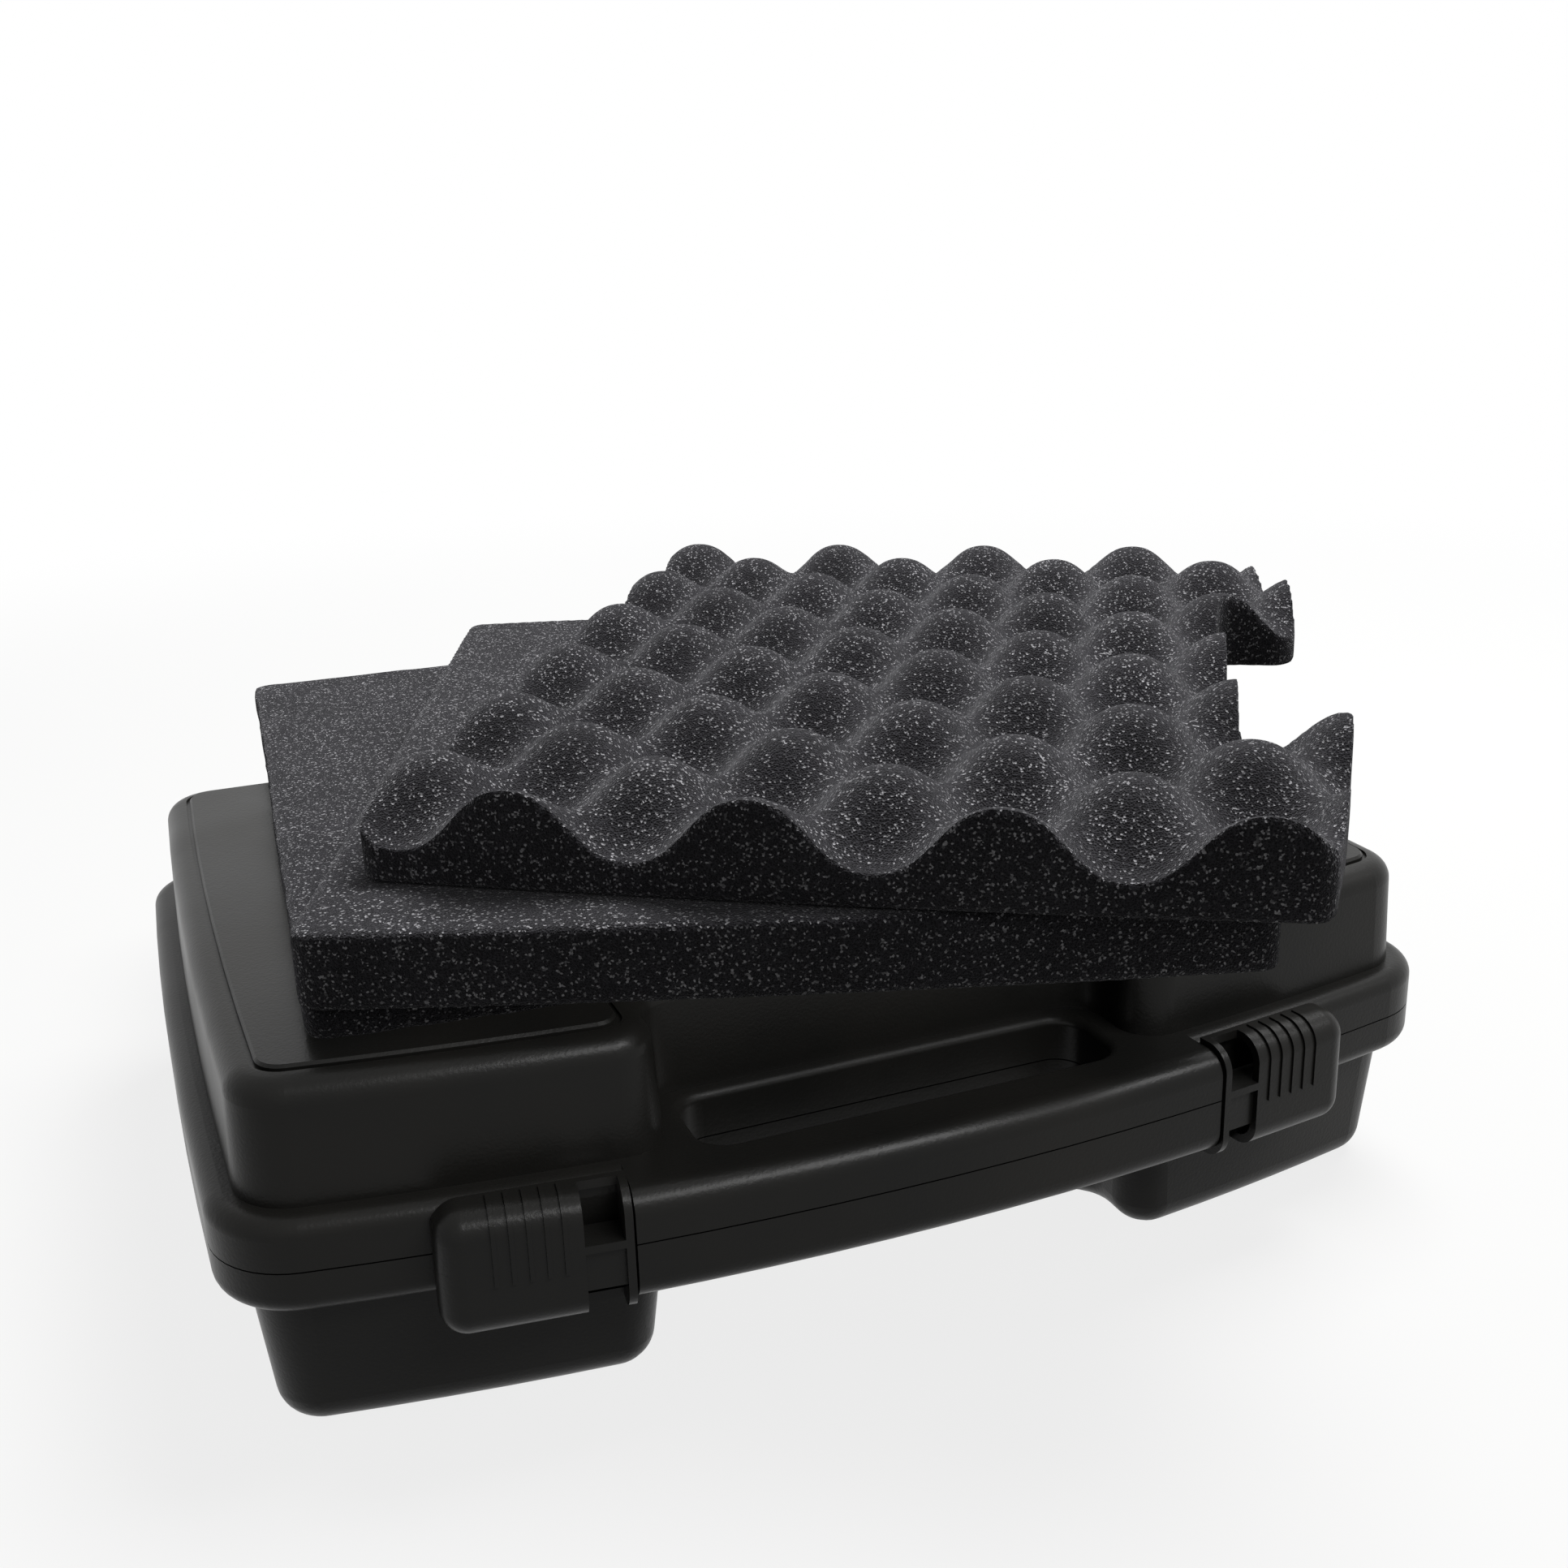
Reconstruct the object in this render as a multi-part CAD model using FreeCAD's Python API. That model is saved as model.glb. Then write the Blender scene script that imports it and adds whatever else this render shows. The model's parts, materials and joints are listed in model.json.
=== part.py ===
# Plastic carrying case: two moulded shells on a pinned hinge, two sliding latches and three foam pads.
# The plan of every shell comes from one rim outline: straight rear, slightly bowed sides, bowed front.
# X runs along the handle, -Y is the handle side and Z is up.
# The origin is on the floor, under the middle of the rim.
import FreeCAD
import Part
import math
import os

# Rim outline, seen from above
case_width = 300.0
case_depth = 230.0
front_radius = 720.0
side_radius = 2200.0
corner_radius = 20.0

# Heights of the two shells and of their rims
base_height = 44.5
lid_height = 37.5
base_rim_height = 10.5
lid_rim_height = 11.0
rim_edge_radius = 4.0
base_rim_edge_radius = 4.5

# Shell walls
wall = 2.5
rim_overhang = 5.5
base_taper = 4.5
lid_taper = 1.5
base_edge_radius = 8.0
lid_edge_radius = 5.5

# Notch in both tubs behind the handle
notch_width = 111.0
notch_depth = 31.5
notch_corner_radius = 9.0
notch_mouth_radius = 9.0

# Raised panel on the lid
panel_margin = 6.5
panel_rise = 0.8
panel_groove_width = 1.0
panel_groove_depth = 0.6
panel_edge_bevel = 0.6

# Handle bar and hand hole
handle_length = 137.0
handle_reach = 9.3
handle_height = 25.0
handle_seam_drop = 4.0
handle_edge_radius = 5.5
hole_length = 100.0
hole_width = 22.3
hole_setback = 6.2
hole_corner_radius = 7.0
hole_edge_radius = 2.2

# Rim joint: a tongue under the lid's sides runs in a channel of the base
channel_inset = 2.2
channel_width = 3.4
channel_depth = 6.0
tongue_depth = 3.0
channel_end_setback = 16.0
channel_front_setback = 34.0

# Hinges: a lid knuckle between two base knuckles on a steel pin
hinge_spacing = 150.0
hinge_offset = 4.0
knuckle_radius = 3.6
lid_knuckle_length = 16.0
base_knuckle_length = 13.0
pin_radius = 1.5

# Sliding latches
latch_length = 39.0
latch_reach = 9.6
latch_top_rise = 1.2
latch_bottom_drop = 1.8
latch_edge_radius = 6.0
latch_end_radius = 6.0
latch_wall = 2.0
latch_travel = 9.0
end_plate = 1.7
window_length = 8.2
window_rim = 1.6
strip_rise = 1.9
strip_lift = 6.8
strip_setback = 1.3
ledge_height = 1.8
rib_count = 5
rib_spacing = 3.5
rib_width = 0.9
rib_proud = 0.45
rib_setback = 11.0
rib_drop = 3.5

# Latch rail on the base, hooks on the latch, tongue that bolts the lid
rail_neck = 4.0
rail_head = 2.2
rail_neck_height = 3.5
rail_lift = 3.8
shelf_thickness = 2.0
hook_thickness = 2.0
bolt_length = 6.0
bolt_height = 2.5
bolt_depth = 4.2
bolt_rise = 3.0
bolt_place = -2.0

# Foam pads, cut to the inside of the case
pad_ease = 1.5
pad_corner_radius = 5.0
pad_notch_ease = 2.5
pad_notch_radius = 8.0
lower_pad_thickness = 7.5
middle_pad_thickness = 17.0
crate_base = 7.5
crate_rise = 14.5
crate_spacing = 50.0
crate_row_share = 0.69
crate_samples = 8

# Where the near corner of each pad lies, from the rim's left side and front, and how far it is turned
lower_pad_from_side = 25.3
lower_pad_from_front = 29.4
lower_pad_turn_degrees = 86.1
middle_pad_from_side = 22.8
middle_pad_from_front = 28.9
middle_pad_turn_degrees = 70.1
crate_from_side = 40.2
crate_from_front = 52.2
crate_turn_degrees = 57.1

# Clearances
slide_gap = 0.4
rim_gap = 0.5
knuckle_gap = 0.4
pin_gap = 0.06
overrun = 20.0
match_tolerance = 0.001

# Worked-out planes
front_y = -case_depth / 2
rear_y = case_depth / 2
parting = base_height
lid_top = base_height + lid_height
lid_rim_top = parting + lid_rim_height
base_rim_bottom = parting - base_rim_height
handle_bottom = lid_rim_top - handle_height
seam = parting - handle_seam_drop
panel_top = lid_top + panel_rise

# Worked-out places on the latch, in its own frame: X along the travel, -Y out of the case
latch_inner = -latch_length / 2
latch_outer = latch_length / 2
latch_top = lid_rim_top + latch_top_rise
latch_bottom = handle_bottom - latch_bottom_drop
strip_top = parting + strip_rise
strip_bottom = latch_bottom + strip_lift
rib_bottom = parting - rib_drop
bolt_level = parting + bolt_rise
rail_start = latch_inner + end_plate + latch_travel + slide_gap
rail_end = latch_outer - latch_wall - slide_gap
rail_bottom = latch_bottom + latch_wall + rail_lift
rail_top = strip_top - shelf_thickness - slide_gap
neck_bottom = (rail_bottom + rail_top - rail_neck_height) / 2
neck_top = neck_bottom + rail_neck_height

# Worked-out plan of the pads
pad_inset = rim_overhang + wall + pad_ease
pad_notch_grow = wall + pad_notch_ease
pad_left = -case_width / 2 + pad_inset
pad_rear = rear_y - pad_inset


def vec(x, y, z=0.0):
    return FreeCAD.Vector(x, y, z)


def flip(point):
    return vec(-point.x, point.y, point.z)


def mirrored(shape):
    return shape.mirror(vec(0, 0, 0), vec(1, 0, 0))


def block(x0, x1, y0, y1, z0, z1):
    return Part.makeBox(x1 - x0, y1 - y0, z1 - z0, vec(x0, y0, z0))


def line(start, end):
    return Part.makeLine(start, end)


# Arc about a centre from start to end, the short way round.
def arc(centre, start, end):
    middle = (start - centre) + (end - centre)
    middle.normalize()
    crest = centre + middle * (start - centre).Length
    return Part.Arc(start, crest, end).toShape()


def on_circle(centre, radius, toward):
    direction = toward - centre
    direction.normalize()
    return centre + direction * radius


# The crossing of two circles that lies on the handle side.
def front_crossing(first, first_radius, second, second_radius):
    along = second - first
    span = along.Length
    along.normalize()
    across = vec(along.y, -along.x)
    step = (first_radius ** 2 - second_radius ** 2 + span ** 2) / (2 * span)
    rise = math.sqrt(first_radius ** 2 - step ** 2)
    return first + along * step + across * rise


# Closed outline of the rim at a height, drawn in by an inset, with corners of a radius.
def rounded_outline(inset, z, radius):
    front_centre = vec(0, front_y + front_radius, z)
    side_centre = vec(case_width / 2 - side_radius, 0, z)
    rear = rear_y - inset
    side_reach = side_radius - inset
    front_reach = front_radius - inset
    rear_corner_y = rear - radius
    rear_corner_x = side_centre.x + math.sqrt((side_reach - radius) ** 2 - rear_corner_y ** 2)
    rear_corner = vec(rear_corner_x, rear_corner_y, z)
    front_corner = front_crossing(side_centre, side_reach - radius, front_centre, front_reach - radius)
    rear_end = vec(rear_corner_x, rear, z)
    side_rear = on_circle(side_centre, side_reach, rear_corner)
    side_front = on_circle(side_centre, side_reach, front_corner)
    front_end = on_circle(front_centre, front_reach, front_corner)
    edges = [
        line(flip(rear_end), rear_end),
        arc(rear_corner, rear_end, side_rear),
        arc(side_centre, side_rear, side_front),
        arc(front_corner, side_front, front_end),
        arc(front_centre, front_end, flip(front_end)),
        arc(flip(front_corner), flip(front_end), flip(side_front)),
        arc(flip(side_centre), flip(side_front), flip(side_rear)),
        arc(flip(rear_corner), flip(side_rear), flip(rear_end)),
    ]
    return Part.Wire(edges)


def rim_outline(inset, z):
    return rounded_outline(inset, z, corner_radius - inset)


# Outline of the hand notch, open past the front; it grows as the tub wall leans away from it.
def notch_outline(grow, z, radius):
    half = notch_width / 2 + grow
    back = front_y + notch_depth + grow
    front = front_y - overrun
    centre = vec(half - radius, back - radius, z)
    side = vec(half, back - radius, z)
    rear = vec(half - radius, back, z)
    corner = vec(half, front, z)
    edges = [
        line(flip(corner), corner),
        line(corner, side),
        arc(centre, side, rear),
        line(rear, flip(rear)),
        arc(flip(centre), flip(rear), flip(side)),
        line(flip(side), flip(corner)),
    ]
    return Part.Wire(edges)


def prism(outline, height):
    return Part.Face(outline).extrude(vec(0, 0, height))


def same(first, second):
    return abs(first - second) < match_tolerance


def level_edges(shape, z):
    return [e for e in shape.Edges if all(same(v.Z, z) for v in e.Vertexes)]


# Upright edges where the notch breaks through the front of a tub.
def mouth_edges(shape):
    found = []
    for edge in shape.Edges:
        box = edge.BoundBox
        upright = box.ZLength > box.XLength + box.YLength
        near = abs(edge.CenterOfMass.x) < notch_width and edge.CenterOfMass.y < front_y + notch_depth / 2
        if upright and near:
            found.append(edge)
    return found


# Solid block of a tub from the parting plane to its closed end, with its notch and rounded edges.
def tub(inset, taper, end_z, edge_radius, mouth_radius):
    grow = inset - rim_overhang
    outer = Part.makeLoft([rim_outline(inset, parting), rim_outline(inset + taper, end_z)], True, True)
    radius = notch_corner_radius
    notch_ends = [notch_outline(grow, parting, radius), notch_outline(grow + taper, end_z, radius)]
    body = outer.cut(Part.makeLoft(notch_ends, True, True))
    body = body.makeFillet(mouth_radius, mouth_edges(body))
    return body.makeFillet(edge_radius, level_edges(body, end_z))


# Swept block along the handle: a profile in the YZ plane turned about the centre of the front bow.
def handle_sweep(profile, length):
    half_angle = math.degrees(math.asin(length / 2 / front_radius))
    centre = vec(0, front_y + front_radius, 0)
    face = Part.Face(profile)
    face.rotate(centre, vec(0, 0, 1), -half_angle)
    return face.revolve(centre, vec(0, 0, 1), 2 * half_angle)


# Rectangle in the YZ plane whose front corners may be round.
def handle_profile(front, rear, bottom, top, bottom_radius, top_radius):
    edges = []
    low = vec(0, front, bottom + bottom_radius)
    high = vec(0, front, top - top_radius)
    edges.append(line(low, high))
    start = high
    if top_radius > 0:
        start = vec(0, front + top_radius, top)
        edges.append(arc(vec(0, front + top_radius, top - top_radius), high, start))
    edges.append(line(start, vec(0, rear, top)))
    edges.append(line(vec(0, rear, top), vec(0, rear, bottom)))
    end = low
    if bottom_radius > 0:
        end = vec(0, front + bottom_radius, bottom)
    edges.append(line(vec(0, rear, bottom), end))
    if bottom_radius > 0:
        edges.append(arc(vec(0, front + bottom_radius, bottom + bottom_radius), end, low))
    return Part.Wire(edges)


# Half of the handle bar between two heights.
def handle_half(bottom, top, bottom_radius, top_radius):
    front = front_y - handle_reach
    rear = front_y + hole_setback + hole_corner_radius
    return handle_sweep(handle_profile(front, rear, bottom, top, bottom_radius, top_radius), handle_length)


# Hollow of the bar, open towards the seam.
def handle_hollow(bottom, top):
    front = front_y - handle_reach + wall
    rear = front_y + hole_setback - 2 * wall
    return handle_sweep(handle_profile(front, rear, bottom, top, 0, 0), handle_length - 4 * wall)


def hand_hole(z0, z1):
    half = hole_length / 2
    front = front_y + hole_setback
    body = block(-half, half, front, front + hole_width, z0, z1)
    upright = [e for e in body.Edges if e.BoundBox.ZLength > wall]
    return body.makeFillet(hole_corner_radius, upright)


# Ring between two insets of the rim, kept to the sides of the case and drawn back at both ends.
def side_ring(inset, width, z0, z1, end_gap):
    ring = prism(rim_outline(inset, z0), z1 - z0).cut(prism(rim_outline(inset + width, z0), z1 - z0))
    front = front_y + channel_front_setback + end_gap
    rear = rear_y - channel_end_setback - end_gap
    return ring.common(block(-case_width, case_width, front, rear, z0, z1))


def knuckle(x0, x1, bore_radius):
    axis_point = vec(x0, rear_y + hinge_offset, parting)
    barrel = Part.makeCylinder(knuckle_radius, x1 - x0, axis_point, vec(1, 0, 0))
    return barrel, Part.makeCylinder(bore_radius, x1 - x0, axis_point, vec(1, 0, 0))


def lid_knuckle_span(middle):
    half = lid_knuckle_length / 2
    return [(middle - half, middle + half)]


def base_knuckle_spans(middle):
    near = lid_knuckle_length / 2 + knuckle_gap
    far = near + base_knuckle_length
    return [(middle - far, middle - near), (middle + near, middle + far)]


# Adds hinge barrels with their arms to a shell; the arms stand above or below the parting plane.
def add_knuckles(shell, spans, bore_radius, arm_z0, arm_z1):
    bores = []
    for x0, x1 in spans:
        barrel, bore = knuckle(x0, x1, bore_radius)
        arm = block(x0, x1, rear_y - wall, rear_y + hinge_offset, arm_z0, arm_z1)
        shell = shell.fuse(barrel.fuse(arm))
        bores.append(bore)
    for bore in bores:
        shell = shell.cut(bore)
    return shell


# Moves a shape from the latch's own frame to its place on the right of the handle.
def at_latch(shape):
    gap_angle = (handle_length / 2 + slide_gap + latch_length / 2) / front_radius
    turned = shape.copy()
    turned.rotate(vec(0, 0, 0), vec(0, 0, 1), math.degrees(gap_angle))
    x = front_radius * math.sin(gap_angle)
    y = front_y + front_radius * (1 - math.cos(gap_angle))
    turned.translate(vec(x, y, 0))
    return turned


# T-shaped rail on the base that the latch's hooks run along.
def latch_rail():
    neck = block(rail_start, rail_end, -rail_neck, wall, neck_bottom, neck_top)
    head = block(rail_start, rail_end, -rail_neck - rail_head, -rail_neck, rail_bottom, rail_top)
    return at_latch(neck.fuse(head))


# Pocket in the lid's rim for the latch's bolt: open below at rest, with a slot that the bolt slides into.
def bolt_pocket():
    depth = bolt_depth + slide_gap
    top = bolt_level + bolt_height + slide_gap
    start = bolt_place - slide_gap
    end = bolt_place + bolt_length + slide_gap
    rest = block(start, end, -wall, depth, parting - overrun, top)
    slot = block(start, end + latch_travel, -wall, depth, bolt_level - slide_gap, top)
    return at_latch(rest.fuse(slot))


# Block of the latch between two depths and heights, with its long front edges rounded.
def latch_block(x0, x1, front, rear, bottom, top, radius):
    body = block(x0, x1, front, rear, bottom, top)
    along = [e for e in body.Edges if e.BoundBox.XLength > latch_reach and same(e.CenterOfMass.y, front)]
    return body.makeFillet(radius, along)


# Edges of the latch's closed end, apart from the one against the case.
def closed_end_edges(body):
    found = []
    for edge in body.Edges:
        on_end = same(edge.BoundBox.XMin, latch_outer)
        against_case = same(edge.BoundBox.YMin, -slide_gap)
        if on_end and not against_case:
            found.append(edge)
    return found


# Cuts the latch's open end: two windows and, between them, a strip set back below a ledge.
def cut_windows(body):
    start = latch_inner + end_plate
    end = start + window_length
    front = -latch_reach - overrun
    rim_y = -slide_gap - window_rim
    upper = block(start, end, front, rim_y, strip_top, latch_top + overrun)
    lower = block(start, end, front, rim_y, latch_bottom - overrun, strip_bottom)
    setback = block(start, end, front, -latch_reach + strip_setback, strip_bottom, strip_top - ledge_height)
    return body.cut([upper, lower, setback])


# Hooks behind the rail's head, the shelf that carries the upper one, and the bolt for the lid.
def latch_inside():
    front = -latch_reach + latch_wall / 2
    hook_front = -rail_neck + slide_gap
    hook_rear = hook_front + hook_thickness
    hook_start = latch_inner + end_plate + window_length
    hook_end = latch_outer - latch_wall / 2
    lower_start = latch_bottom + latch_wall / 2
    lower_hook = block(hook_start, hook_end, hook_front, hook_rear, lower_start, neck_bottom - slide_gap)
    upper_hook = block(latch_inner, hook_end, hook_front, hook_rear, neck_top + slide_gap, strip_top)
    shelf = block(latch_inner, hook_end, front, hook_rear, strip_top - shelf_thickness, strip_top)
    bolt_end = bolt_place + bolt_length
    bolt = block(bolt_place, bolt_end, front, bolt_depth, bolt_level, bolt_level + bolt_height)
    return [lower_hook, upper_hook, shelf, bolt]


def latch():
    front = -latch_reach
    x0 = latch_inner + end_plate
    x1 = latch_outer - latch_wall
    radius = latch_edge_radius
    body = latch_block(latch_inner, latch_outer, front, -slide_gap, latch_bottom, latch_top, radius)
    body = body.makeFillet(latch_end_radius, closed_end_edges(body))
    floor_z = latch_bottom + latch_wall
    roof_z = latch_top - latch_wall
    cavity = latch_block(x0, x1, front + latch_wall, 0, floor_z, roof_z, radius - latch_wall)
    body = cut_windows(body.cut(cavity)).fuse(latch_inside())

    proud = front - rib_proud
    crest = latch_top + rib_proud
    grown = latch_block(latch_inner, latch_outer, proud, -slide_gap, latch_bottom, crest, radius)
    for index in range(rib_count):
        x = latch_outer - rib_setback - index * rib_spacing
        rib = grown.common(block(x - rib_width, x, proud, -window_rim, rib_bottom, crest))
        body = body.fuse(rib.cut(cavity))
    return at_latch(body.removeSplitter())


def lid_shell():
    rim = prism(rim_outline(0, parting), lid_rim_height)
    rim = rim.makeFillet(rim_edge_radius, level_edges(rim, lid_rim_top))
    bar = handle_half(seam, lid_rim_top, 0, handle_edge_radius)
    bar = bar.cut(tub(rim_overhang - rim_gap, base_taper, 0, base_edge_radius, notch_mouth_radius))
    plate = rim.fuse(bar).cut(hand_hole(seam - overrun, lid_rim_top + overrun)).removeSplitter()
    hole_rear = front_y + hole_setback + hole_width
    rounded = []
    for edge in level_edges(plate, lid_rim_top):
        box = edge.BoundBox
        inside = max(abs(box.XMin), abs(box.XMax)) < hole_length / 2 + wall and box.YMax < hole_rear + wall
        if inside and box.YMin > front_y + hole_setback - wall:
            rounded.append(edge)
    plate = plate.makeFillet(hole_edge_radius, rounded)
    outer = tub(rim_overhang, lid_taper, lid_top, lid_edge_radius, notch_mouth_radius)
    mouth_radius = notch_mouth_radius - wall
    inner = tub(rim_overhang + wall, lid_taper, lid_top - wall, lid_edge_radius - wall, mouth_radius)
    body = plate.fuse(outer).cut(inner)
    body = body.cut(handle_hollow(seam - overrun, lid_rim_top - wall))

    inset = rim_overhang + lid_taper + panel_margin
    groove = panel_blank(inset - panel_groove_width, lid_top - panel_groove_depth, overrun)
    panel = panel_blank(inset, lid_top - wall / 2, panel_rise + wall / 2)
    panel = panel.makeChamfer(panel_edge_bevel, level_edges(panel, panel_top))
    body = body.cut(groove).fuse(panel)

    width = channel_width - 2 * rim_gap
    tongue = side_ring(channel_inset + rim_gap, width, parting - tongue_depth, parting + wall, rim_gap)
    body = body.fuse(tongue)
    pocket = bolt_pocket()
    body = body.cut(pocket).cut(mirrored(pocket))
    for side in (-1, 1):
        spans = lid_knuckle_span(side * hinge_spacing / 2)
        body = add_knuckles(body, spans, pin_radius + pin_gap, parting, parting + knuckle_radius)
    return body.removeSplitter()


# Flat blank with the plan of the tub at an inset from the rim.
def panel_blank(inset, z, height):
    grow = inset - rim_overhang
    blank = prism(rim_outline(inset, z), height)
    notch = prism(notch_outline(grow, z, notch_corner_radius), height)
    body = blank.cut(notch)
    return body.makeFillet(notch_mouth_radius / 2, mouth_corner_edges(body, grow, notch_corner_radius))


# Upright edges at the mouth of a straight-walled notch.
def mouth_corner_edges(body, grow, radius):
    half = notch_width / 2 + grow
    bend = front_y + notch_depth + grow - radius
    found = []
    for edge in body.Edges:
        centre = edge.CenterOfMass
        upright = edge.BoundBox.XLength + edge.BoundBox.YLength < match_tolerance
        if upright and same(abs(centre.x), half) and centre.y < bend - match_tolerance:
            found.append(edge)
    return found


def base_shell():
    rim = prism(rim_outline(0, base_rim_bottom), base_rim_height)
    rim = rim.makeFillet(base_rim_edge_radius, level_edges(rim, base_rim_bottom))
    bar = handle_half(handle_bottom, seam, handle_edge_radius, 0)
    front = front_y - handle_reach - overrun
    rear = front_y + hole_setback + hole_corner_radius + slide_gap
    above_seam = handle_profile(front, rear, seam, parting + overrun, 0, 0)
    above_bar = handle_sweep(above_seam, handle_length + 2 * slide_gap)
    plate = rim.cut(above_bar).fuse(bar).cut(hand_hole(handle_bottom - overrun, parting + overrun))
    outer = tub(rim_overhang, base_taper, 0, base_edge_radius, notch_mouth_radius)
    inner = tub(rim_overhang + wall, base_taper, wall, base_edge_radius - wall, notch_mouth_radius - wall)
    body = plate.fuse(outer).cut(inner)
    body = body.cut(handle_hollow(handle_bottom + wall, seam + overrun))
    body = body.cut(side_ring(channel_inset, channel_width, parting - channel_depth, parting + overrun, 0))
    rail = latch_rail()
    body = body.fuse([rail, mirrored(rail)])
    for side in (-1, 1):
        spans = base_knuckle_spans(side * hinge_spacing / 2)
        body = add_knuckles(body, spans, pin_radius, parting - knuckle_radius, parting)
    return body.removeSplitter()


def hinge_pin(side):
    near, far = base_knuckle_spans(side * hinge_spacing / 2)
    start = vec(near[0], rear_y + hinge_offset, parting)
    return Part.makeCylinder(pin_radius, far[1] - near[0], start, vec(1, 0, 0))


# Pad blank: the inside plan of the case, standing on the floor.
def pad_blank(height):
    blank = prism(rounded_outline(pad_inset, 0, pad_corner_radius), height)
    notch = prism(notch_outline(pad_notch_grow, 0, pad_notch_radius), height)
    body = blank.cut(notch)
    return body.makeFillet(pad_notch_radius, mouth_corner_edges(body, pad_notch_grow, pad_notch_radius))


# Convoluted top: rows of peaks and hollows, each row set half a spacing beside the last.
# A row of peaks lies on the cut left end; across it the rows start at a share of the spacing from the rear.
def crate_height(x, y):
    along = (x - pad_left) / crate_spacing
    across = (pad_rear - y) / crate_spacing - crate_row_share
    wave = math.cos(2 * math.pi * along) * math.cos(2 * math.pi * across)
    return crate_base + crate_rise * (1 + wave) / 2


# Section of the egg-crate form across the pad, running on below the floor.
def crate_section(x):
    step = crate_spacing / crate_samples
    rows = int(math.ceil(case_depth / 2 / step))
    crest = [vec(x, index * step, crate_height(x, index * step)) for index in range(-rows, rows + 1)]
    curve = Part.BSplineCurve()
    curve.interpolate(crest)
    front_foot = vec(x, crest[0].y, -overrun)
    rear_foot = vec(x, crest[-1].y, -overrun)
    edges = [
        line(front_foot, crest[0]),
        curve.toShape(),
        line(crest[-1], rear_foot),
        line(rear_foot, front_foot),
    ]
    return Part.Wire(edges)


def crate_pad():
    step = crate_spacing / crate_samples
    columns = int(math.ceil(-2 * pad_left / step))
    sections = [crate_section(pad_left + index * step) for index in range(-1, columns + 2)]
    form = Part.makeLoft(sections, True, True)
    return form.common(pad_blank(crate_base + crate_rise + overrun))


# Lays a pad on the lid: its left rear corner goes to a place from the rim's left side and front.
def lay(shape, from_side, from_front, turn, z):
    laid = shape.copy()
    laid.translate(vec(-pad_left, -pad_rear, 0))
    laid.rotate(vec(0, 0, 0), vec(0, 0, 1), turn)
    laid.translate(vec(-case_width / 2 + from_side, front_y + from_front, z))
    return laid


def lower_pad():
    shape = pad_blank(lower_pad_thickness)
    return lay(shape, lower_pad_from_side, lower_pad_from_front, lower_pad_turn_degrees, panel_top)


def middle_pad():
    shape = pad_blank(middle_pad_thickness)
    z = panel_top + lower_pad_thickness
    return lay(shape, middle_pad_from_side, middle_pad_from_front, middle_pad_turn_degrees, z)


def convoluted_pad():
    z = panel_top + lower_pad_thickness + middle_pad_thickness
    return lay(crate_pad(), crate_from_side, crate_from_front, crate_turn_degrees, z)


os.makedirs("parts", exist_ok=True)
right_latch = latch()
parts = {
    "base_shell": base_shell(),
    "lid_shell": lid_shell(),
    "left_latch": mirrored(right_latch),
    "right_latch": right_latch,
    "left_hinge_pin": hinge_pin(-1),
    "right_hinge_pin": hinge_pin(1),
    "lower_pad": lower_pad(),
    "middle_pad": middle_pad(),
    "convoluted_pad": convoluted_pad(),
}
for name, shape in parts.items():
    print(name, "solids", len(shape.Solids), "valid", shape.isValid(), "volume", round(shape.Volume))
    shape.exportStep("parts/" + name + ".step")
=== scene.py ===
import json
import math
import bpy
from mathutils import Matrix, Vector, noise


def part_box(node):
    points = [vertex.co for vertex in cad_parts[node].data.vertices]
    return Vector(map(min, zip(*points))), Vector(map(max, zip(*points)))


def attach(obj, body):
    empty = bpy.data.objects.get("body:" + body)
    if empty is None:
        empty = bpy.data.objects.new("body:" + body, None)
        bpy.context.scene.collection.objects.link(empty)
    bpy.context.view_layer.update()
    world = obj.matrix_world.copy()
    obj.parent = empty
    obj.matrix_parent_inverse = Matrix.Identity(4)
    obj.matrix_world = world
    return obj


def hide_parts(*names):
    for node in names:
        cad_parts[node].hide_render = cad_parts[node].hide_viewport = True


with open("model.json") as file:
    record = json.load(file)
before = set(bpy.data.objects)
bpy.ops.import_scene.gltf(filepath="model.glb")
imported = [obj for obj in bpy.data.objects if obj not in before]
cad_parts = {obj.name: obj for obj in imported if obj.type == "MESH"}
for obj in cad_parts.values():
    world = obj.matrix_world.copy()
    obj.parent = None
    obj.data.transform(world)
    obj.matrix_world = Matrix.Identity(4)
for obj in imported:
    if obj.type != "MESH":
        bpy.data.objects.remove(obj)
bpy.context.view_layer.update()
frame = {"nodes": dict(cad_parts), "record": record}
print("frame loaded:", ", ".join(sorted(frame["nodes"])))


# sRGB hex to the linear colour that shader sockets take
def linearColour(text):
    values = [int(text[i:i + 2], 16) / 255 for i in (1, 3, 5)]
    return [v / 12.92 if v <= 0.04045 else ((v + 0.055) / 1.055) ** 2.4 for v in values] + [1.0]


# pattern scale for a feature of this many millimetres, on Object coordinates in metres
def perMillimetre(size):
    return 1000.0 / size


# a node with its settings (sockets by name or number, else properties) and its links
def addNode(tree, kind, settings=None, links=None):
    node = tree.nodes.new(kind)
    for name, value in (settings or {}).items():
        if isinstance(name, int) or name in node.inputs:
            node.inputs[name].default_value = value
        else:
            setattr(node, name, value)
    for name, socket in (links or {}).items():
        tree.links.new(socket, node.inputs[name])
    return node


def newMaterial(name):
    material = bpy.data.materials.new(name)
    material.use_nodes = True
    tree = material.node_tree
    tree.nodes.clear()
    return material, tree


def finishMaterial(tree, shader):
    addNode(tree, "ShaderNodeOutputMaterial", links={"Surface": shader.outputs[0]})


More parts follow.
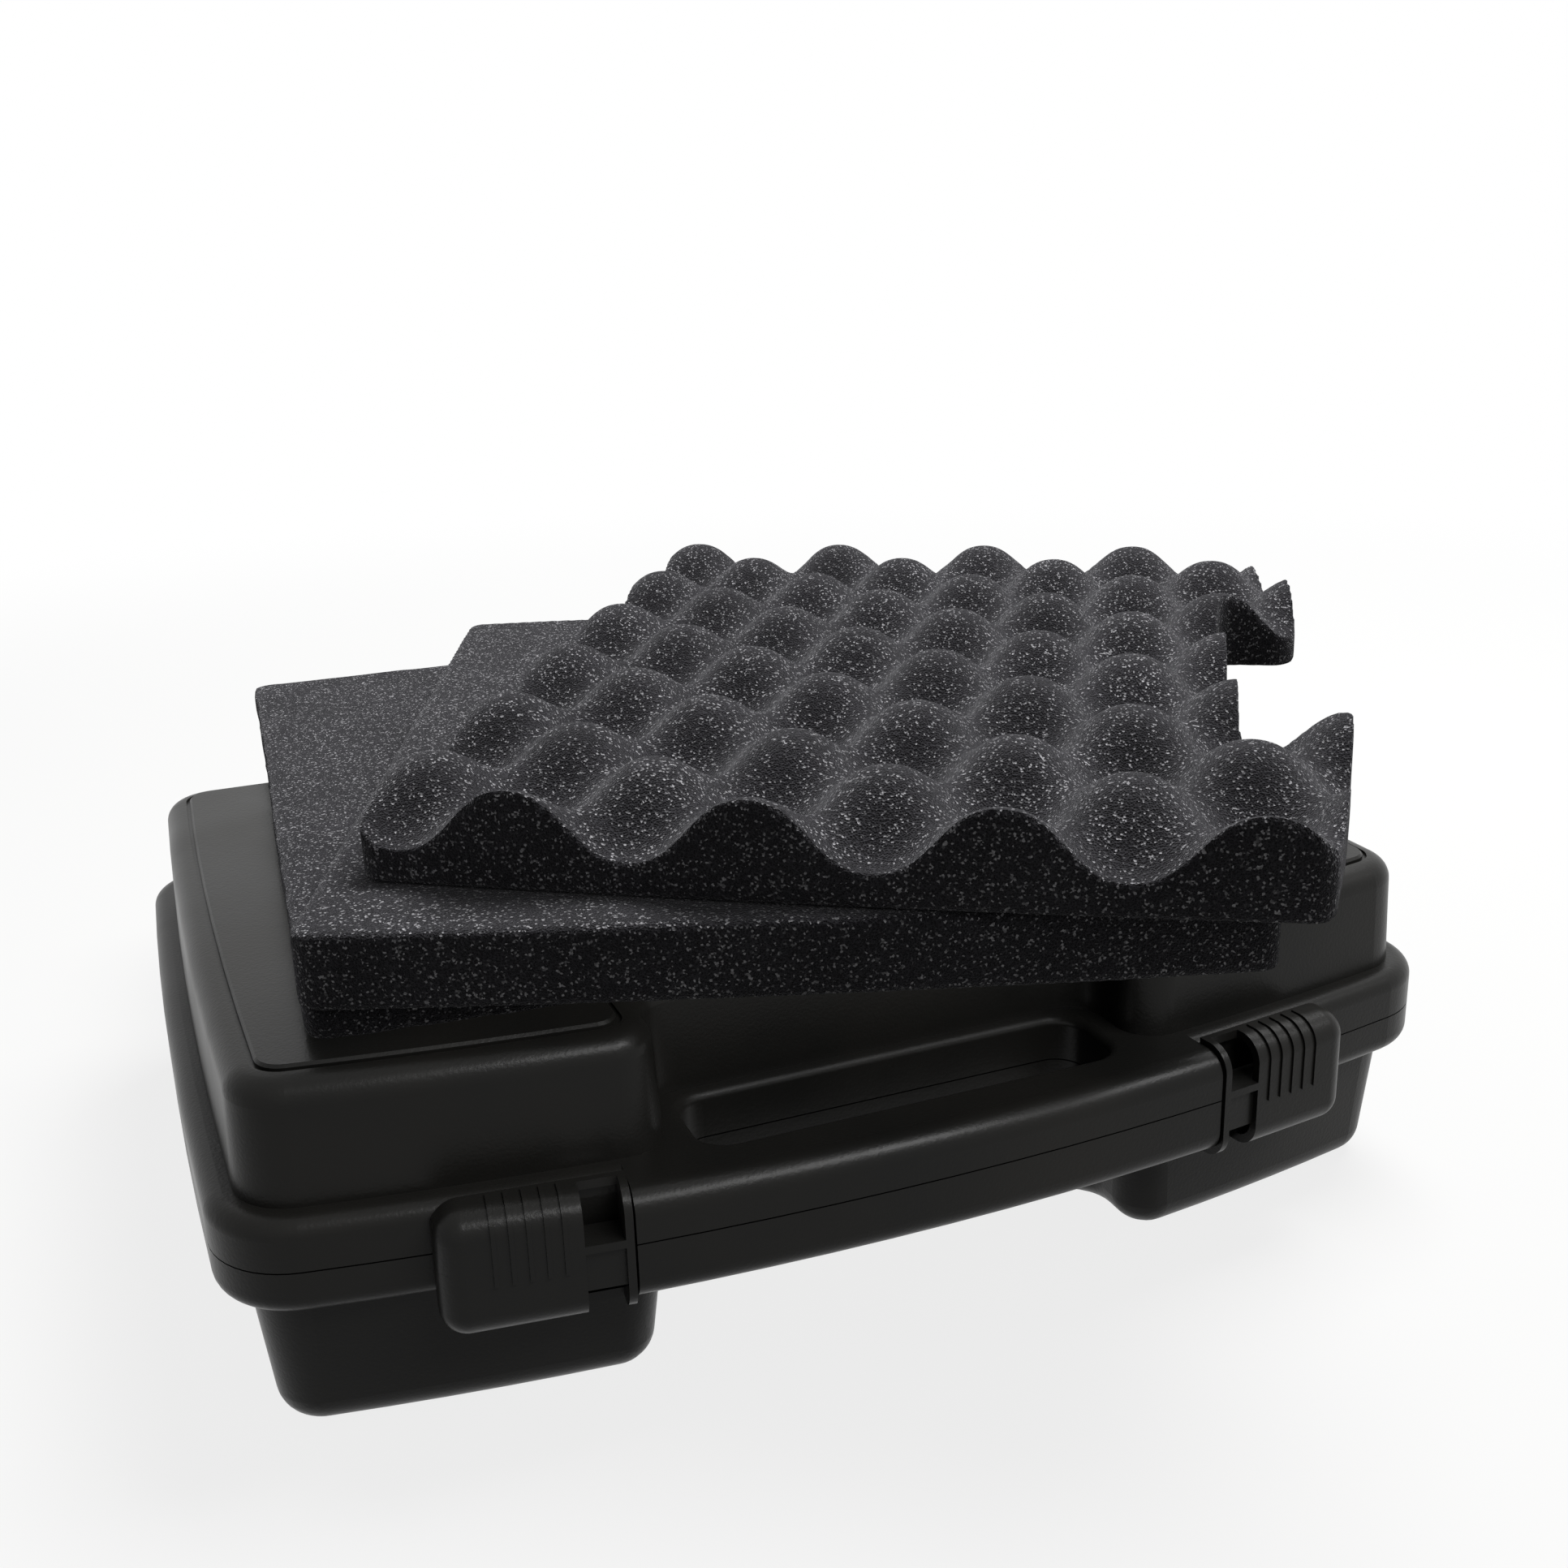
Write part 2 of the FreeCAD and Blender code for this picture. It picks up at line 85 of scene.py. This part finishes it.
def setRamp(node, stops):
    ramp = node.color_ramp
    while len(ramp.elements) < len(stops):
        ramp.elements.new(0.5)
    for element, (place, colour) in zip(ramp.elements, stops):
        element.position = place
        element.color = colour


# Polypropylene, injection moulded in an etched tool: near black, with an even grain that breaks up highlights.
polypropylene = {
    "colour": "#131312",
    "rubbedColour": "#191816",
    "tintRange": (0.35, 0.75),
    "grainSize": 0.75,       # mm; a real etch is about half this, drawn coarser so that it shows
    "grainDetail": 2.0,
    "grainHeight": 0.00008,
    "grainStrength": 0.6,
    "cloudSize": 45.0,       # mm, slow change of gloss across a face
    "cloudDetail": 5.0,
    "cloudRange": (0.3, 0.7),
    "roughness": (0.28, 0.38),
    "specular": 0.14,
    "ior": 1.49,
    "seamShadowDustColour": "#030303",
    "seamHeight": 0.0445,    # parting of the two shells, where the dark line is painted shadow and dust
    "seamWidth": 0.0003,
    "seamFacing": 0.5,       # upright faces: the Z of their normal is within this of 0
}


# a dark line without gloss where the shells meet, on their upright faces: painted shadow and dust in the parting
def drawSeam(tree, s, coords, tint, shader):
    spot = addNode(tree, "ShaderNodeSeparateXYZ", links={"Vector": coords.outputs["Object"]})
    facing = addNode(tree, "ShaderNodeSeparateXYZ", links={"Vector": coords.outputs["Normal"]})
    near = addNode(tree, "ShaderNodeMath", {"operation": "COMPARE", 1: s["seamHeight"], 2: s["seamWidth"] / 2},
                   {0: spot.outputs["Z"]})
    upright = addNode(tree, "ShaderNodeMath", {"operation": "COMPARE", 1: 0.0, 2: s["seamFacing"]},
                      {0: facing.outputs["Z"]})
    line = addNode(tree, "ShaderNodeMath", {"operation": "MULTIPLY"}, {0: near.outputs[0], 1: upright.outputs[0]})
    # painted shadow and dust: the seam colour darkens the line, and its gloss is taken off too
    seamed = addNode(tree, "ShaderNodeMixRGB", {"Color2": linearColour(s["seamShadowDustColour"])},
                     {"Fac": line.outputs[0], "Color1": tint.outputs["Color"]})
    shine = addNode(tree, "ShaderNodeMapRange", {"To Min": s["specular"], "To Max": 0.0},
                    {"Value": line.outputs[0]})
    tree.links.new(seamed.outputs["Color"], shader.inputs["Base Color"])
    tree.links.new(shine.outputs["Result"], shader.inputs["Specular IOR Level"])


# the shells have a seam; the latches have none
def makePolypropylene(s, name, seam):
    material, tree = newMaterial(name)
    coords = addNode(tree, "ShaderNodeTexCoord")
    place = coords.outputs["Object"]
    grain = addNode(tree, "ShaderNodeTexNoise",
                    {"Scale": perMillimetre(s["grainSize"]), "Detail": s["grainDetail"]}, {"Vector": place})
    cloud = addNode(tree, "ShaderNodeTexNoise",
                    {"Scale": perMillimetre(s["cloudSize"]), "Detail": s["cloudDetail"]}, {"Vector": place})
    gloss = addNode(tree, "ShaderNodeMapRange",
                    {"From Min": s["cloudRange"][0], "From Max": s["cloudRange"][1],
                     "To Min": s["roughness"][0], "To Max": s["roughness"][1]}, {"Value": cloud.outputs["Fac"]})
    tint = addNode(tree, "ShaderNodeValToRGB", links={"Fac": cloud.outputs["Fac"]})
    setRamp(tint, [(s["tintRange"][0], linearColour(s["colour"])),
                   (s["tintRange"][1], linearColour(s["rubbedColour"]))])
    bump = addNode(tree, "ShaderNodeBump", {"Strength": s["grainStrength"], "Distance": s["grainHeight"]},
                   {"Height": grain.outputs["Fac"]})
    shader = addNode(tree, "ShaderNodeBsdfPrincipled", {"Specular IOR Level": s["specular"], "IOR": s["ior"]},
                     {"Base Color": tint.outputs["Color"], "Roughness": gloss.outputs["Result"],
                      "Normal": bump.outputs["Normal"]})
    if seam:
        drawSeam(tree, s, coords, tint, shader)
    finishMaterial(tree, shader)
    return material


# Mild steel, drawn to wire: bright, with fine scratches along its length.
steel = {
    "colour": "#b9b7b2",
    "scratchSize": 0.25,     # mm
    "scratchDetail": 3.0,
    "stretch": 0.04,
    "roughness": (0.28, 0.48),
}


def makeSteel(s):
    material, tree = newMaterial("mildSteelDrawnWire")
    coords = addNode(tree, "ShaderNodeTexCoord")
    along = addNode(tree, "ShaderNodeMapping", {"Scale": (s["stretch"], 1.0, 1.0)},
                    {"Vector": coords.outputs["Object"]})
    scratch = addNode(tree, "ShaderNodeTexNoise",
                      {"Scale": perMillimetre(s["scratchSize"]), "Detail": s["scratchDetail"]},
                      {"Vector": along.outputs["Vector"]})
    gloss = addNode(tree, "ShaderNodeMapRange", {"To Min": s["roughness"][0], "To Max": s["roughness"][1]},
                    {"Value": scratch.outputs["Fac"]})
    shader = addNode(tree, "ShaderNodeBsdfPrincipled", {"Base Color": linearColour(s["colour"]), "Metallic": 1.0},
                     {"Roughness": gloss.outputs["Result"]})
    finishMaterial(tree, shader)
    return material


# Polyurethane foam, cut from an open-cell block: dark pits between fine struts, some of which glint; the dark of
# the pits is painted shade in the hollows, and the glints are painted highlights.
foam = {
    # painted shade: the colour of the hollow at each cell's centre
    "pitShadeColour": "#121113",
    "strutColour": "#424145",
    "strutRange": (0.15, 0.75),
    "paintedGlintColour": "#d0cfd3",
    "paintedGlintRange": (0.88, 1.0),   # a cell's random value from which it gets a painted glint, and at which the painted glint is full
    "cellSize": 0.45,            # mm
    "cellDepth": 0.0004,
    "cellStrength": 0.9,
    "patchSize": 22.0,           # mm, slow change across a face
    "patchDetail": 4.0,
    "patchRange": (0.3, 0.7),
    "patchShade": (0.8, 1.15),
    "roughness": 0.9,
    "specular": 0.1,
    "sheen": 0.42,               # loose cell walls catch light along the surface
    "sheenRoughness": 0.4,
    "sheenColour": "#d8d8dc",
}


def makeFoam(s):
    material, tree = newMaterial("polyurethaneFoamOpenCell")
    coords = addNode(tree, "ShaderNodeTexCoord")
    place = coords.outputs["Object"]
    cells = addNode(tree, "ShaderNodeTexVoronoi", {"Scale": perMillimetre(s["cellSize"])}, {"Vector": place})
    patch = addNode(tree, "ShaderNodeTexNoise",
                    {"Scale": perMillimetre(s["patchSize"]), "Detail": s["patchDetail"]}, {"Vector": place})
    # the dark pit colour at the cell centres is painted shade in the hollows; the struts between them are lighter
    struts = addNode(tree, "ShaderNodeValToRGB", links={"Fac": cells.outputs["Distance"]})
    setRamp(struts, [(s["strutRange"][0], linearColour(s["pitShadeColour"])),
                     (s["strutRange"][1], linearColour(s["strutColour"]))])
    chance = addNode(tree, "ShaderNodeSeparateColor", links={"Color": cells.outputs["Color"]})
    # painted highlight: random cells take a bright colour, as if their struts caught the light
    glint = addNode(tree, "ShaderNodeMapRange", {"From Min": s["paintedGlintRange"][0], "From Max": s["paintedGlintRange"][1]},
                    {"Value": chance.outputs["Red"]})
    lit = addNode(tree, "ShaderNodeMixRGB", {"Color2": linearColour(s["paintedGlintColour"])},
                  {"Fac": glint.outputs["Result"], "Color1": struts.outputs["Color"]})
    shade = addNode(tree, "ShaderNodeMapRange",
                    {"From Min": s["patchRange"][0], "From Max": s["patchRange"][1],
                     "To Min": s["patchShade"][0], "To Max": s["patchShade"][1]}, {"Value": patch.outputs["Fac"]})
    colour = addNode(tree, "ShaderNodeMixRGB", {"blend_type": "MULTIPLY", "Fac": 1.0},
                     {"Color1": lit.outputs["Color"], "Color2": shade.outputs["Result"]})
    bump = addNode(tree, "ShaderNodeBump", {"Strength": s["cellStrength"], "Distance": s["cellDepth"]},
                   {"Height": cells.outputs["Distance"]})
    shader = addNode(tree, "ShaderNodeBsdfPrincipled",
                     {"Roughness": s["roughness"], "Specular IOR Level": s["specular"],
                      "Sheen Weight": s["sheen"], "Sheen Roughness": s["sheenRoughness"],
                      "Sheen Tint": linearColour(s["sheenColour"])},
                     {"Base Color": colour.outputs["Color"], "Normal": bump.outputs["Normal"]})
    finishMaterial(tree, shader)
    return material


materials = {
    "polypropylene_shell": makePolypropylene(polypropylene, "polypropyleneMouldedShell", True),
    "charcoal_foam": makeFoam(foam),
    "hinge_pin_steel": makeSteel(steel),
}
latchPlastic = makePolypropylene(polypropylene, "polypropyleneMouldedLatch", False)
print("materials made:", len(materials) + 1)


def deselectAll():
    if bpy.context.mode != "OBJECT":
        bpy.ops.object.mode_set(mode="OBJECT")
    bpy.ops.object.select_all(action="DESELECT")


def makeActive(piece):
    deselectAll()
    piece.select_set(True)
    bpy.context.view_layer.objects.active = piece


def applyModifier(piece, kind, settings):
    makeActive(piece)
    modifier = piece.modifiers.new(kind.lower(), kind)
    for name, value in settings.items():
        setattr(modifier, name, value)
    bpy.ops.object.modifier_apply(modifier=modifier.name)


mergeDistance = 0.00002


# a copy of a CAD node's mesh with its loose triangles joined
def mergedCopy(name, node):
    piece = bpy.data.objects.new(name, frame["nodes"][node].data.copy())
    bpy.context.collection.objects.link(piece)
    makeActive(piece)
    bpy.ops.mesh.customdata_custom_splitnormals_clear()
    bpy.ops.object.mode_set(mode="EDIT")
    bpy.ops.mesh.select_all(action="SELECT")
    bpy.ops.mesh.remove_doubles(threshold=mergeDistance)
    bpy.ops.mesh.normals_make_consistent(inside=False)
    bpy.ops.object.mode_set(mode="OBJECT")
    return piece


# rigid CAD pieces keep their mesh and get the finish of their slot
for subpart in frame["record"]["subparts"]:
    node = frame["nodes"][subpart["node"]]
    node.data.materials.clear()
    node.data.materials.append(materials[subpart["material_slot"]])
print("finishes set on the CAD pieces")


latch = {
    "endRadius": 0.006,      # rounding of the closed outer end
    "ribProud": 0.00045,
    "crease": math.radians(30),
}


# a latch whose inner shelf ends flush with the rounded corner of the closed end; in the solid it stands 1 mm out
def latchCap(name, node, slide):
    piece = mergedCopy(name, node)
    out = slide.cross(Vector((0, 0, 1)))
    if out.y > 0:
        out.negate()
    vertices = piece.data.vertices
    radius = latch["endRadius"]
    endCentre = max(vertex.co.dot(slide) for vertex in vertices) - radius
    frontCentre = max(vertex.co.dot(out) for vertex in vertices) - latch["ribProud"] - radius
    for vertex in vertices:
        along = vertex.co.dot(slide) - endCentre
        ahead = vertex.co.dot(out) - frontCentre
        reach = math.hypot(along, ahead)
        if along > 0 and ahead > 0 and reach > radius:
            vertex.co = vertex.co - (slide * along + out * ahead) * (1 - radius / reach)
    makeActive(piece)
    bpy.ops.object.shade_smooth_by_angle(angle=latch["crease"])
    applyModifier(piece, "WEIGHTED_NORMAL", {"keep_sharp": True})
    piece.data.materials.clear()
    piece.data.materials.append(latchPlastic)
    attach(piece, node)
    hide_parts(node)


slides = {joint["name"]: Vector(joint["axis"]) for joint in frame["record"]["behaviour"]["joints"]}
latchCap("leftLatchCap", "left_latch", slides["left_latch_slide"])
latchCap("rightLatchCap", "right_latch", slides["right_latch_slide"])
print("latches capped")


pad = {
    "voxel": 0.0015,         # the cut edges come out about this soft
    "smoothing": 3,
    "smoothFactor": 0.5,
    "unevenness": 0.0005,    # slow swell of a foam face
    "unevenSize": 0.035,
    "fill": 0.9,
}
crate = {
    "corner": (-0.1098, -0.0628),
    "turn": math.radians(57.1),
    "spacing": 0.050,
    "rowShare": 0.69,
    "base": 0.0075,
    "rise": 0.0145,
    "fullness": 0.22,        # rounder tops and hollows than a plain wave
    "capture": 0.004,        # how far a top vertex may move onto the wave
    "topFacing": 0.2,        # least Z of the normal of a top vertex
}


# a cut foam block from the space that its CAD solid holds
def foamBlock(name, node):
    piece = mergedCopy(name, node)
    applyModifier(piece, "REMESH", {"mode": "VOXEL", "voxel_size": pad["voxel"]})
    applyModifier(piece, "SMOOTH", {"factor": pad["smoothFactor"], "iterations": pad["smoothing"]})
    return piece


# height of the convoluted top over the pad's underside
def crateHeight(x, y):
    c, s = math.cos(crate["turn"]), math.sin(crate["turn"])
    dx, dy = x - crate["corner"][0], y - crate["corner"][1]
    along = (dx * c + dy * s) / crate["spacing"]
    across = (dx * s - dy * c) / crate["spacing"] - crate["rowShare"]
    wave = math.cos(2 * math.pi * along) * math.cos(2 * math.pi * across)
    full = wave * (1 + crate["fullness"] * (1 - wave * wave))
    return crate["base"] + crate["rise"] * (1 + full) / 2


# moves the faceted top of the convoluted pad onto the smooth wave
def roundCrate(piece, bottom):
    upward = [vertex.normal.z > crate["topFacing"] for vertex in piece.data.vertices]
    for vertex, onTop in zip(piece.data.vertices, upward):
        target = bottom + crateHeight(vertex.co.x, vertex.co.y)
        if onTop and abs(vertex.co.z - target) < crate["capture"]:
            vertex.co.z = target


# a slow swell, so that no foam face is dead flat; the underside stays where it rests
def swellFaces(piece, bottom):
    normals = [vertex.normal.copy() for vertex in piece.data.vertices]
    for vertex, normal in zip(piece.data.vertices, normals):
        if vertex.co.z - bottom > pad["voxel"]:
            vertex.co += normal * noise.noise(vertex.co / pad["unevenSize"]) * pad["unevenness"]


def finishPad(piece, node):
    piece.data.materials.clear()
    piece.data.materials.append(materials["charcoal_foam"])
    makeActive(piece)
    bpy.ops.object.shade_smooth()
    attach(piece, node)
    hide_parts(node)


for node in ("lower_pad", "middle_pad", "convoluted_pad"):
    padPiece = foamBlock(node + "Foam", node)
    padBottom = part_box(node)[0].z
    if node == "convoluted_pad":
        roundCrate(padPiece, padBottom)
    swellFaces(padPiece, padBottom)
    finishPad(padPiece, node)
    print("foam pad:", node, len(padPiece.data.polygons), "faces")


white = (1.0, 1.0, 1.0, 1.0)


# 1 for the rays that show the background: from the camera, off glossy faces and through clear things
def seenRays(tree):
    path = addNode(tree, "ShaderNodeLightPath")
    seen = addNode(tree, "ShaderNodeMath", {"operation": "MAXIMUM"},
                   {0: path.outputs["Is Camera Ray"], 1: path.outputs["Is Glossy Ray"]})
    seenAll = addNode(tree, "ShaderNodeMath", {"operation": "MAXIMUM"},
                      {0: seen.outputs[0], 1: path.outputs["Is Transmission Ray"]})
    return seenAll.outputs[0]


floorSettings = {
    "size": 12.0,
    "colour": "#f6f6f4",
    "bounceColour": "#6a6a68",
    "glow": 0.82,
    "fade": (0.45, 1.1),     # m from the middle, from painted floor to plain white
}


# plain pale floor that runs out into the white backdrop; its bounce onto the object is weaker than it looks
def makeFloor(s):
    deselectAll()
    bpy.ops.mesh.primitive_plane_add(size=s["size"], location=(0, 0, 0))
    floor = bpy.context.active_object
    floor.name = "studioFloor"
    material, tree = newMaterial("paintedStudioFloor")
    seen = seenRays(tree)
    colour = addNode(tree, "ShaderNodeMixRGB", {"Color1": linearColour(s["bounceColour"]),
                                                "Color2": linearColour(s["colour"])}, {"Fac": seen})
    painted = addNode(tree, "ShaderNodeBsdfDiffuse", links={"Color": colour.outputs["Color"]})
    lit = addNode(tree, "ShaderNodeMath", {"operation": "MULTIPLY", 1: s["glow"]}, {0: seen})
    glow = addNode(tree, "ShaderNodeEmission", {"Color": white})
    pale = addNode(tree, "ShaderNodeMixShader",
                   links={0: lit.outputs[0], 1: painted.outputs[0], 2: glow.outputs[0]})
    blank = addNode(tree, "ShaderNodeEmission", {"Color": white}, {"Strength": seen})
    coords = addNode(tree, "ShaderNodeTexCoord")
    reach = addNode(tree, "ShaderNodeVectorMath", {"operation": "LENGTH"}, {0: coords.outputs["Object"]})
    fade = addNode(tree, "ShaderNodeMapRange",
                   {"interpolation_type": "SMOOTHSTEP", "From Min": s["fade"][0], "From Max": s["fade"][1]},
                   {"Value": reach.outputs["Value"]})
    shader = addNode(tree, "ShaderNodeMixShader",
                     links={0: fade.outputs["Result"], 1: pale.outputs[0], 2: blank.outputs[0]})
    finishMaterial(tree, shader)
    floor.data.materials.append(material)


worldSettings = {"seenStrength": 1.0, "lightStrength": 0.14}


# white for the camera, for reflections and through clear things; a weak sky for everything else
def makeWorld(s):
    world = bpy.data.worlds.new("studioWorld")
    bpy.context.scene.world = world
    world.use_nodes = True
    tree = world.node_tree
    tree.nodes.clear()
    strength = addNode(tree, "ShaderNodeMapRange", {"To Min": s["lightStrength"], "To Max": s["seenStrength"]},
                       {"Value": seenRays(tree)})
    background = addNode(tree, "ShaderNodeBackground", {"Color": white}, {"Strength": strength.outputs["Result"]})
    addNode(tree, "ShaderNodeOutputWorld", links={"Surface": background.outputs[0]})


lamps = {
    "topSoftbox": {"place": (0.5, 0.25, 1.25), "target": (0.0, 0.0, 0.08),
                   "size": (0.9, 0.6), "power": 18.0},
    # the photograph's foam seems to be lit apart from its case, so this one lights the moulded pieces only
    "frontStrip": {"place": (0.4, -0.8, 1.0), "target": (0.0, -0.1, 0.05),
                   "size": (1.1, 0.3), "power": 16.0,
                   "lights": ("base_shell", "lid_shell", "leftLatchCap", "rightLatchCap")},
}


def makeLamps(settings):
    for name, s in settings.items():
        light = bpy.data.lights.new(name, "AREA")
        light.shape = "RECTANGLE"
        light.size, light.size_y = s["size"]
        light.energy = s["power"]
        lamp = bpy.data.objects.new(name, light)
        bpy.context.collection.objects.link(lamp)
        lamp.location = s["place"]
        aim = Vector(s["target"]) - Vector(s["place"])
        lamp.rotation_euler = aim.to_track_quat("-Z", "Y").to_euler()
        if "lights" in s:
            lit = bpy.data.collections.new(name + "Receivers")
            for piece in s["lights"]:
                lit.objects.link(bpy.data.objects[piece])
            lamp.light_linking.receiver_collection = lit
            lamp.light_linking.blocker_collection = lit


makeFloor(floorSettings)
makeWorld(worldSettings)
makeLamps(lamps)
print("studio set")


view = {
    "place": (-0.1497, -0.4097, 0.2375),
    "azimuth": math.radians(21.64),
    "elevation": math.radians(18.12),
    "roll": math.radians(1.69),
    "lens": 39.65,
    "sensor": 36.0,
    "clipStart": 0.01,
}


def makeCamera(s):
    data = bpy.data.cameras.new("photoCamera")
    data.lens = s["lens"]
    data.sensor_width = s["sensor"]
    data.clip_start = s["clipStart"]
    camera = bpy.data.objects.new("photoCamera", data)
    bpy.context.collection.objects.link(camera)
    level = Vector((math.sin(s["azimuth"]), math.cos(s["azimuth"]), 0))
    forward = level * math.cos(s["elevation"]) - Vector((0, 0, 1)) * math.sin(s["elevation"])
    right = forward.cross(Vector((0, 0, 1))).normalized()
    up = right.cross(forward)
    rolledRight = right * math.cos(s["roll"]) - up * math.sin(s["roll"])
    rolledUp = right * math.sin(s["roll"]) + up * math.cos(s["roll"])
    turn = Matrix((rolledRight, rolledUp, -forward)).transposed().to_4x4()
    camera.matrix_world = Matrix.Translation(s["place"]) @ turn
    bpy.context.scene.camera = camera


makeCamera(view)
bpy.context.scene.view_settings.view_transform = "Standard"
print("camera placed")
